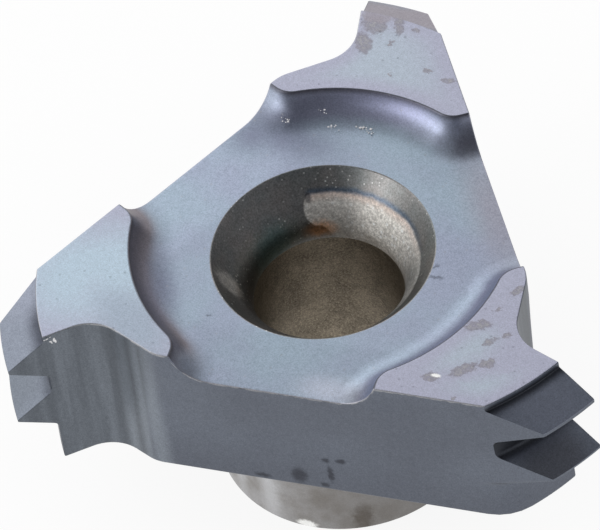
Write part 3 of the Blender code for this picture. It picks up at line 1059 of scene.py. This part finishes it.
def wall_material(colours):
    """Coated walls: sides, gullets and tooth flanks.

    The sides are blue-grey with dark marks, and painted shade low down. The gullets have streaks
    along the grinding wheel's path. The flanks are slate, with painted shade between the teeth and
    at their roots, painted light on two flanks and painted shade on two more, and worn at one tip.
    Front edges are worn pale, and painted pale as a highlight where they face the front.
    """
    material, shader, where = new_metal("coated_walls")
    height = axes(where)[2]
    drift = ease(noise(where, 350.0, 3.0, 0.5), 0.3, 0.7, 0.0, 0.6)
    side = mix(drift, colours.side, colours.side_dark_and_shade)
    # Painted shade: the sides darken low down
    side = mix(ease(height, -1.2 * MM, 0.6 * MM, 0.7, 0.0), side, colours.side_dark_and_shade)
    marks = spots(where, SIDE_MARKS, 1.5e-4, 0.6, 0.07)
    marks = marks.maths("MAXIMUM", spots(where, SIDE_SPOTS, 2e-4, 0.5, 0.24))
    side = mix(marks * 0.85, side, colours.side_mark)

    along = add(where.tree, "Mapping", {"Vector": where, "Scale": (1.0, 1.0, 0.06)})
    streak = ease(noise(along, 2600.0, 3.0, 0.6), 0.35, 0.75)
    gullet = mix(streak, colours.gullet, colours.gullet_pale)
    colour = mix(named_value(where, "gullet"), side, gullet)
    colour = mix(spots(where, PALE_STREAKS, 6e-5, 0.9, 3.2) * 0.75, colour, colours.streak)

    tooth = named_value(where, "tooth")
    on_flank = named_value(where, "flank")
    # Painted shade: the flanks darken towards the roots between the teeth
    flank = mix(ease(tooth, 0.0, 0.45), colours.groove_shade, colours.flank)
    flank = mix(spots(where, WORN_TIPS, 3e-4, 0.3), flank, colours.worn_tip)
    # Painted light: two flanks painted paler
    flank = mix(spots(where, LIT_FLANKS, 2e-4, 0.7, 0.7), flank, colours.flank_lit)
    # Painted shade on the lower flank at the left corner
    flank = mix(spots(where, SHADED_FLANKS, 2e-4, 0.7, 0.7), flank, colours.flank_shaded)
    # Painted shade on the second tooth's flank at the right corner
    flank = mix(spots(where, SHADED_LOW_FLANKS, 2e-4, 0.5, 0.7), flank, colours.flank_low_shade)
    upward = ease(named_value(where, "steepness"), 0.3, 0.9, 1.0, 0.0)
    colour = mix(on_flank * upward, colour, flank)
    # Painted shade along the teeth's roots, stronger on the right and higher up
    strength = ease(leftwards(where), 1.2 * MM, 2.6 * MM, 0.9, 0.12)
    strength = strength * ease(height, 0.1 * MM, 0.6 * MM)
    colour = mix(on_flank * ease(tooth, 0.02, 0.24, strength, 0.0), colour, colours.root_shade)

    # Pale front edges: partly worn bare, partly a painted highlight where the edges face the front
    edge = worn_and_lit_front(where, 0.6)
    colour = mix(edge * 0.6, colour, colours.bare)
    feed(ease(edge, 0.0, 1.0, 1.0, 0.5), shader["Metallic"])
    finish(shader, where, colour, 3e-5, 0.32, 0.38, 1e-6)
    return material


def hub_material(colours):
    """The hub: bare ground carbide, with painted shade on the right, a pale band of painted
    reflection, a stain and painted glints.
    """
    material, shader, where = new_metal("bare_hub")
    streak = ease(noise(where, 1200.0, 3.0, 0.6), 0.35, 0.7)
    colour = mix(streak, colours.bare, colours.bare_warm)
    # Painted shade on the hub's right side
    right = ease(axes(where)[0], -1.0 * MM, 2.6 * MM, 0.0, 0.75)
    colour = mix(right, colour, colours.hub_right_shade)
    colour = mix(spots(where, HUB_STAINS, 3e-4, 0.6) * 0.6, colour, colours.stain)
    # A painted reflection: a pale vertical band down the hub
    colour = mix(spots(where, HUB_SHEEN, 2e-4, 0.8, 0.9) * 0.7, colour, colours.hub_sheen)
    # A painted highlight at the hub's lower edge
    colour = mix(spots(where, HUB_GLINTS, 2e-4, 0.4, 0.12), colour, colours.painted_glint_and_dust)
    finish(shader, where, colour, 3e-5, 0.16, 0.32, 1e-6)
    return material


def dust_material(colours):
    """Dust: pale, dull and slightly mottled."""
    material, shader, where = new_metal("dust")
    feed(mix(noise(where, 20000.0), colours.dust, colours.bare), shader["Base Color"])
    feed(0.0, shader["Metallic"])
    feed(0.8, shader["Roughness"])
    return material


def on_pads(*places):
    """Places on the pads' plane, given without their height."""
    return [(x, y, PADS_HEIGHT, *rest) for x, y, *rest in places]


# Places on the surface: x, y, z, half length, half width in mm and turn in degrees
WORN_PATCHES = on_pads(
    (4.11, -0.15, 0.25, 0.11, -134),
    (4.57, -0.34, 0.16, 0.07, -118),
    (4.78, -0.03, 0.09, 0.05, -118),
    (4.57, -1.2, 0.28, 0.11, -116),
    (4.12, -1.72, 0.17, 0.09, -150),
    (4.82, -1.9, 0.05, 0.04, 0),
    (4.87, -0.82, 0.15, 0.1, -130),
    (4.19, 0.4, 0.09, 0.05, -110),
    (4.23, 1.0, 0.17, 0.07, -112),
    (-2.54, 5.07, 0.25, 0.2, -22),
    (-2.14, 5.37, 0.3, 0.09, -51),
    (-1.72, 5.41, 0.07, 0.05, 0),
    (-1.94, 4.85, 0.08, 0.06, -50),
    (-1.42, 4.17, 0.05, 0.04, 0),
    (-0.85, 4.67, 0.09, 0.06, 0),
    (-0.34, 4.68, 0.14, 0.06, 30),
    (-2.42, 4.54, 0.26, 0.15, -47),
)
# A nick in a pad's coating, painted as a highlight
CHIP_HIGHLIGHTS = on_pads((4.2, -1.63, 0.09, 0.04, -150))
CYAN_AREAS = on_pads((-3.15, -3.3, 1.6, 1.15, 45))
TEAL_AREAS = on_pads((-1.75, -3.9, 1.0, 0.5, -17))
PALE_AREAS = on_pads(
    (-1.7, 4.1, 1.5, 1.2, -40),
    (4.2, -0.8, 0.7, 0.4, -120),
    (5.2, -1.45, 1.0, 0.3, 48),
)
WORN_TIPS = [
    (-2.95, 5.85, 2.3, 1.5, 0.62, 25),
    (-2.62, 5.27, 2.5, 0.36, 0.16, 25),
    (-2.0, 6.05, 2.05, 0.8, 0.5, 25),
]
# Painted highlights on the recess's steep wall
WALL_HIGHLIGHTS = [
    (0.08, 3.74, 2.3, 0.55, 0.3, 20),
    (0.42, 3.65, 2.13, 0.2, 0.35, 10),
    (-3.25, 2.42, 2.25, 0.38, 0.38, 0),
    (-0.35, -3.9, 2.2, 0.25, 0.35, 20),
]
# A painted highlight on the recess's floor
RECESS_HIGHLIGHTS = [(2.35, -2.75, 1.95, 0.6, 0.3, 22)]
# A painted sheen on the steep wall
RECESS_VIOLET_SHEEN = [(-0.85, 3.5, 2.2, 1.0, 0.6, 10)]
RECESS_SHADES = [
    (0.83, 3.86, 2.17, 0.22, 0.48, -20),
    (2.85, -2.7, 2.05, 0.25, 0.3, 0),
]
# Painted shade at the foot of the recess's wall
RECESS_FOOT_SHADE = [
    (-2.65, 2.0, 2.0, 1.1, 0.45, 10),
    (-3.15, 1.75, 2.0, 0.5, 0.5, 0),
    (-2.15, -2.6, 2.05, 0.9, 0.28, -48),
]
# Painted shade on the recess's floor
RECESS_LILAC_SHADE = [(2.2, 2.85, 1.95, 1.5, 0.45, -38)]
RECESS_MARKS = [
    (2.34, 0.72, 1.98, 0.14, 0.05, 30),
    (2.15, 0.95, 1.98, 0.08, 0.04, 60),
    (-0.9, -2.6, 1.98, 0.06, 0.04, 20),
]
# A painted patch of light on the seat
SEAT_LIT_PATCH = [(-1.3, -1.5, 1.55, 0.34, 0.22, 8)]
SEAT_PITS = [(-1.42, 1.25, 1.5, 0.07, 0.07, 0)]
SEAT_STAINS = [(-1.06, 1.13, 0.86, 0.28, 0.25, 45)]
SEAT_TEAL = [(-1.6, 0.15, 0.9, 0.35, 0.6, 0)]
PALE_STREAKS = [
    (-1.85, -4.3, 0.4, 0.13, 0.3, 0),
    (-1.45, -4.3, 0.6, 0.12, 0.3, 0),
    (-1.16, -4.32, 0.3, 0.18, 0.3, 0),
]
# Painted light on single flanks
LIT_FLANKS = [
    (6.2, -0.75, 2.2, 1.2, 0.8, 0),
    (-4.17, -4.24, 2.27, 0.6, 0.6, 0),
]
# Painted shade on the second tooth's flank
SHADED_LOW_FLANKS = [(6.3, -0.9, 0.35, 1.0, 0.8, 0)]
# Painted shade on a flank
SHADED_FLANKS = [(-3.9, -5.4, 0.4, 0.8, 0.8, 0)]
SIDE_SPOTS = [
    (1.53, -3.18, -0.86, 0.16, 0.15, 22),
    (2.17, -2.93, -0.64, 0.07, 0.15, 22),
]
SIDE_MARKS = [
    (2.01, -2.97, -1.05, 0.08, 0.1, 22),
    (2.42, -2.86, -0.16, 0.1, 0.1, 22),
    (2.12, -2.97, -0.2, 0.09, 0.1, 22),
    (0.8, -3.46, -1.05, 0.16, 0.1, 22),
]
HUB_STAINS = [(1.9, -1.92, -3.32, 0.18, 0.1, 45)]
# Painted reflection on the hub
HUB_SHEEN = [
    (0.1, -2.7, -2.8, 0.22, 0.2, 0),
    (-0.75, -2.6, -2.5, 0.2, 0.2, -15),
]
# Painted highlights at the hub's lower edge
HUB_GLINTS = [(0.9, -2.54, -3.57, 0.2, 0.1, 20)]

# Flecks of dust: x, y, z and three half-widths in mm, and a turn in radians
FLECKS = [
    (-2.93, -5.1, 2.46, 0.1, 0.04, 0.03, 0.5),
    (-2.232, 2.827, 2.172, 0.05, 0.035, 0.02, 0.4),
    (-2.769, 2.305, 2.12, 0.04, 0.025, 0.02, 1.2),
    (-1.301, 3.042, 2.02, 0.06, 0.04, 0.025, 0.2),
    (-1.142, 3.034, 2.005, 0.035, 0.03, 0.02, 2.0),
    (-1.841, 2.7, 2.01, 0.045, 0.03, 0.02, 0.9),
]


def paint(name, description, *display):
    """A colour that a user may change, given as a display colour from 0 to 255."""
    shown = np.array(display) / 255
    linear = np.where(shown < 0.04045, shown / 12.92, ((shown + 0.055) / 1.055) ** 2.4)
    return FloatVectorProperty(
        name=name, description=description, default=linear.tolist(), subtype="COLOR", size=3,
        min=0.0, max=1.0,
    )


def length(name, description, default):
    """A length in metres that a user may change, given in millimetres."""
    return FloatProperty(
        name=name, description=description, default=default * MM, unit="LENGTH", min=0.0,
        precision=5,
    )


class InsertRoundings(PropertyGroup):
    """How much each kind of edge is rounded."""

    edge: length("Edges", "Radius along the plate's and the hub's edges", 0.022)
    pad_edge: length("Pad edges", "Radius where a pad meets the recess", 0.045)
    tip: length("Cutting edges", "Radius of the cutting edges, seen from above", 0.02)
    crest: length("Crests", "Radius of the teeth's crests", 0.025)
    land: length("Top land", "Radius between the top land and the first tooth", 0.05)
    rim: length("Hole's rim", "Radius of the screw hole's rim", 0.04)
    lower_edge: length("Lower edge", "Radius along the plate's lower edge", 0.08)
    hub_root: length("Hub's root", "Radius where the hub meets the plate", 0.1)


class InsertColours(PropertyGroup):
    """The colours of the coating and of the bare metal, and of the light and shade painted on them.
    """

    pad: paint("Pads", "Coating on the pads", 173, 175, 193)
    pad_middle: paint("Pads' middles", "Coating in the middle of a pad", 180, 197, 211)
    pad_teal: paint("Pads, teal", "Darker, greener parts of the pads", 163, 175, 190)
    # Worn front edges, painted pale partly as a highlight
    worn_edge_highlight: paint("Pads' edges", "Worn outer edges of the pads", 204, 205, 214)
    pad_pale: paint("Pads, pale", "Paler parts of the pads", 176, 186, 199)
    recess: paint("Recess", "Coating on the recess's floor", 161, 169, 189)
    recess_blue: paint("Recess, blue", "Bluer parts of the recess", 163, 179, 194)
    # Painted highlight on the recess's floor
    recess_highlight: paint("Recess, pale", "Palest part at a side", 196, 202, 218)
    # Painted shade on the recess's floor
    recess_lilac_shade: paint("Recess, lilac", "Greyer part at a side", 160, 160, 173)
    # Painted shade at the wall's foot
    recess_foot_shade: paint("Recess, dusk", "Darker foot of the wall", 118, 122, 142)
    wall: paint("Recess's wall", "Coating on the steep wall", 154, 158, 180)
    # Painted highlight on the steep wall
    wall_highlight: paint("Recess's wall, pale", "Paler steep wall", 176, 186, 203)
    # Painted sheen on the steep wall
    wall_violet_sheen: paint("Recess's wall, violet", "Violet steep wall", 176, 180, 210)
    # Painted reflection on the steep wall at the left
    wall_grey_reflection: paint("Recess's wall, grey", "Greyer steep wall", 140, 134, 140)
    shade: paint("Edge shade", "Dark line along the pads' edges", 84, 80, 84)
    seat: paint("Seat", "Coating on the hole's seat", 139, 143, 143)
    seat_warm: paint("Seat, warm", "Warmer parts of the seat", 150, 146, 144)
    bore: paint("Bore", "As sintered carbide in the bore", 138, 128, 114)
    bore_dark: paint("Bore, dark", "Darker parts of the bore", 108, 99, 88)
    bore_pale: paint("Bore, pale", "Paler grains in the bore", 186, 176, 154)
    side: paint("Sides", "Coating on the sides", 110, 116, 127)
    # Darker parts of the sides: random tone, and the painted shade low down
    side_dark_and_shade: paint("Sides, dark", "Darker parts of the sides", 94, 98, 108)
    side_mark: paint("Marks", "Dark marks on the sides", 60, 62, 70)
    flank: paint("Flanks", "Coating on the teeth's flanks", 151, 158, 172)
    # Painted light on a flank
    flank_lit: paint("Flanks, pale", "Palest flank", 162, 168, 184)
    # Painted shade on a flank
    flank_shaded: paint("Flanks, dark", "Darkest flank", 136, 143, 154)
    # Painted shade on the second tooth's flank
    flank_low_shade: paint("Flanks, low", "Second tooth's flank", 124, 127, 136)
    # Painted shade at the teeth's roots
    root_shade: paint("Thread roots", "Darkest line at the teeth's roots", 42, 44, 49)
    # Painted shade between the teeth
    groove_shade: paint("Grooves", "Coating between the teeth", 96, 100, 112)
    gullet: paint("Gullets", "Coating in the gullets", 98, 103, 110)
    gullet_pale: paint("Gullets, pale", "Paler streaks in the gullets", 118, 124, 132)
    streak: paint("Streaks", "Palest streaks in the gullets", 138, 145, 154)
    worn: paint("Worn patches", "Where the coating is worn", 160, 160, 166)
    worn_dark: paint("Worn patches' rims", "Dark rims", 126, 120, 130)
    worn_tip: paint("Worn tips", "Where a tip's coating is worn", 160, 155, 164)
    bare: paint("Bare metal", "Ground carbide without coating", 172, 171, 172)
    bare_warm: paint("Bare metal, warm", "Warmer parts of the metal", 140, 136, 132)
    # Painted reflection down the hub
    hub_sheen: paint("Hub, pale", "Pale band down the hub", 204, 205, 208)
    # Painted shade on the hub's right side
    hub_right_shade: paint("Bare metal, dull", "Duller side of the hub", 112, 109, 106)
    # Grains of the bare band, painted bright as lit metal
    rubbed_and_lit_grain: paint("Bare metal, grains", "Darker grains of it", 206, 202, 196)
    # Rubbed bare metal, painted bright as lit metal
    rubbed_and_lit: paint("Bare metal, rough", "Rubbed metal", 246, 243, 237)
    teal: paint("Teal tint", "Thin coating low on the seat", 100, 140, 145)
    heat_blue: paint("Heat tint, blue", "Above the worn band", 74, 98, 124)
    heat_orange: paint("Heat tint, orange", "Between blue and bare", 200, 176, 164)
    # Painted glints on bare metal and at a nick in a pad, and pale specks of dust on the seat
    painted_glint_and_dust: paint("Glints", "Bright grains of bare metal", 250, 250, 248)
    stain: paint("Stains", "Brown stains", 72, 62, 52)
    rust: paint("Orange stain", "Low on the seat", 225, 160, 100)
    dust: paint("Dust", "Dust on the recess", 222, 222, 224)


class InsertStage(PropertyGroup):
    """The lamps and the floor."""

    side_power: FloatProperty(
        name="Side lamp", description="Power", default=0.0175, unit="POWER", min=0.0
    )
    window_power: FloatProperty(
        name="Window lamp", description="Power", default=0.004, unit="POWER", min=0.0
    )
    screen: FloatProperty(
        name="Dark screen", description="How light the screen is", default=0.2, min=0.0
    )
    sky: FloatProperty(
        name="Sky", description="Strength of the light all round", default=1.0, min=0.0
    )
    floor_size: length("Floor", "Half the width of the floor", 3000)


def new_object(name, data):
    """A new object in the scene."""
    made = bpy.data.objects.new(name, data)
    bpy.context.scene.collection.objects.link(made)
    return made


class INSERT_OT_body(Operator):
    """Makes the insert's surface with its finishes"""

    bl_idname = "insert.body"
    bl_label = "Insert Body"

    def execute(self, context):
        roundings = context.scene.insert_roundings
        colours = context.scene.insert_colours
        names = InsertRoundings.__annotations__
        mesh = body_mesh({name: getattr(roundings, name) / MM for name in names})
        for make in (
            pad_material, recess_material, seat_material, bore_material, hub_material, wall_material
        ):
            mesh.materials.append(make(colours))
        body = new_object("insert_body", mesh)
        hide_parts(NODE)
        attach(body, "root")
        return {"FINISHED"}


class INSERT_OT_dust(Operator):
    """Puts a few flecks of dust on the recess and at one cutting edge"""

    bl_idname = "insert.dust"
    bl_label = "Dust"

    def execute(self, context):
        mesh = fleck_mesh(FLECKS, FLECK_SEED)
        mesh.materials.append(dust_material(context.scene.insert_colours))
        dust = new_object("dust", mesh)
        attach(dust, "root")
        return {"FINISHED"}


def shown_white(tree, share=1.0):
    """How far a ray sees plain white: camera, glossy and transmission rays do."""
    rays = new_node(tree, "LightPath").outputs
    seen = Value(tree, rays["Is Camera Ray"])
    for kind in ("Glossy", "Transmission"):
        seen = seen.maths("MAXIMUM", Value(tree, rays[f"Is {kind} Ray"]))
    return seen * share


def add_lamp(name, place, target, size, power):
    """A soft square lamp in mm that points at a target and can't be seen itself."""
    lamp = bpy.data.lights.new(name, "AREA")
    lamp.size = size * MM
    lamp.energy = power
    holder = new_object(name, lamp)
    at = Vector(place) * MM
    turn = (Vector(target) * MM - at).to_track_quat("-Z", "Y")
    holder.matrix_world = Matrix.Translation(at) @ turn.to_matrix().to_4x4()
    holder.visible_camera = False


def screen_mesh():
    """A dark dome on the right, in front and overhead, open to the left and the back.

    A point is the radius along its azimuth and elevation. The lower edge's elevation rises smoothly
    over the opening.
    """
    azimuth = np.linspace(0, 2 * pi, 96, endpoint=False)
    away = np.abs((azimuth - OPENING_AZIMUTH + pi) % (2 * pi) - pi)
    share = np.clip((OPENING_REACH - away) / OPENING_FADE, 0, 1)
    low = SCREEN_EDGE + (3 * share**2 - 2 * share**3) * OPENING_RISE
    rise = np.linspace(0, 1, 25)[:, None]
    elevation = low + (SCREEN_TOP - low) * rise
    level = np.cos(elevation)
    grid = np.stack([level * np.cos(azimuth), level * np.sin(azimuth), np.sin(elevation)], -1)
    count = len(azimuth)
    a = np.arange(grid.shape[0] * count).reshape(-1, count)
    b = np.roll(a, -1, axis=1)
    faces = np.stack([a[:-1], a[1:], b[1:], b[:-1]], axis=-1).reshape(-1, 4)
    mesh = bpy.data.meshes.new("dark_screen")
    points = grid.reshape(-1, 3) * SCREEN_RADIUS * MM
    mesh.from_pydata(points, [], [*faces.tolist(), a[-1].tolist()])
    return mesh


def add_screen(shade):
    """The dark screen. It is seen only in the metal, as a photographer's black cloth is."""
    material = bpy.data.materials.new("dark_cloth")
    tree = cleared(material)
    material.cycles.emission_sampling = "NONE"
    back = axes(add(tree, "TexCoord", output="Object"))[1]
    strength = ease(back, -90 * MM, 60 * MM, shade * 0.75, shade * 1.35)
    cloth = add(tree, "Emission", {"Color": (0.93, 0.95, 1.0), "Strength": strength})
    new_node(tree, "OutputMaterial", {"Surface": cloth})
    mesh = screen_mesh()
    mesh.materials.append(material)
    screen = new_object("dark_screen", mesh)
    for rays in ("camera", "diffuse", "shadow"):
        setattr(screen, "visible_" + rays, False)


def add_camera():
    """The camera, which looks at a point on the pads' plane with a slight roll."""
    forward = Vector(CAMERA_WAY).normalized()
    level = forward.cross(Vector((0, 0, 1))).normalized()
    upright = level.cross(forward)
    right = level * cos(CAMERA_ROLL) + upright * sin(CAMERA_ROLL)
    up = upright * cos(CAMERA_ROLL) - level * sin(CAMERA_ROLL)
    aim = Vector((*CAMERA_AIM, PADS_HEIGHT)) * MM
    place = Matrix((right, up, -forward)).transposed().to_4x4()
    place.translation = aim - forward * CAMERA_DISTANCE * MM
    lens = bpy.data.cameras.new("camera")
    lens.lens = FOCAL_LENGTH
    lens.sensor_fit = "HORIZONTAL"
    lens.clip_start = 0.01
    camera = new_object("camera", lens)
    camera.matrix_world = place
    bpy.context.scene.camera = camera


class INSERT_OT_stage(Operator):
    """Makes the floor, the sky, the lamps and the camera"""

    bl_idname = "insert.stage"
    bl_label = "Stage"

    def execute(self, context):
        scene = context.scene
        stage = scene.insert_stage
        reach = stage.floor_size
        mesh = bpy.data.meshes.new("floor")
        signs = [(-1, -1), (1, -1), (1, 1), (-1, 1)]
        corners = [(x * reach, y * reach, HUB_END * MM) for x, y in signs]
        mesh.from_pydata(corners, [], [(0, 1, 2, 3)])
        material = bpy.data.materials.new("floor")
        tree = cleared(material)
        paper = add(tree, "BsdfDiffuse", {"Color": (0.85, 0.85, 0.85)})
        white = add(tree, "Emission", {"Color": (1.0, 1.0, 1.0), "Strength": 1.0})
        both = add(tree, "MixShader", {0: shown_white(tree, 0.88), 1: paper, 2: white})
        new_node(tree, "OutputMaterial", {"Surface": both})
        mesh.materials.append(material)
        floor = new_object("floor", mesh)

        scene.world = bpy.data.worlds.new("sky")
        tree = cleared(scene.world)
        strength = ease(shown_white(tree), 0.0, 1.0, stage.sky, 1.0)
        sky = add(tree, "Background", {"Color": (1.0, 1.0, 1.0), "Strength": strength})
        new_node(tree, "OutputWorld", {"Surface": sky})

        add_screen(stage.screen)
        add_lamp("side_lamp", (-33, -83, 40), (0, 0, 1), 46, stage.side_power)
        add_lamp("window_lamp", (-73, 39, 56), (0, 0, 0), 40, stage.window_power)
        add_camera()
        scene.view_settings.view_transform = "Standard"
        return {"FINISHED"}


class INSERT_PT_panel(Panel):
    """Lists the steps that make the insert"""

    bl_label = "Threading Insert"
    bl_space_type = "VIEW_3D"
    bl_region_type = "UI"
    bl_category = "Insert"

    def draw(self, context):
        scene = context.scene
        for settings in (scene.insert_roundings, scene.insert_colours, scene.insert_stage):
            for name in type(settings).__annotations__:
                self.layout.prop(settings, name)
        for operator in OPERATORS:
            self.layout.operator(operator.bl_idname)


SETTINGS = (InsertRoundings, InsertColours, InsertStage)
OPERATORS = (INSERT_OT_body, INSERT_OT_dust, INSERT_OT_stage)


def register():
    """Registers the classes and gives the scene its settings."""
    for entry in (*SETTINGS, *OPERATORS, INSERT_PT_panel):
        bpy.utils.register_class(entry)
    bpy.types.Scene.insert_roundings = PointerProperty(type=InsertRoundings)
    bpy.types.Scene.insert_colours = PointerProperty(type=InsertColours)
    bpy.types.Scene.insert_stage = PointerProperty(type=InsertStage)


def unregister():
    """Takes back what register did."""
    del bpy.types.Scene.insert_stage
    del bpy.types.Scene.insert_colours
    del bpy.types.Scene.insert_roundings
    for entry in reversed((*SETTINGS, *OPERATORS, INSERT_PT_panel)):
        bpy.utils.unregister_class(entry)


def main():
    """Makes everything."""
    register()
    for group in (grain_group, spot_group, wear_group, speck_group):
        group()
    bpy.ops.insert.body()
    bpy.ops.insert.dust()
    bpy.ops.insert.stage()


if __name__ == "__main__":
    main()
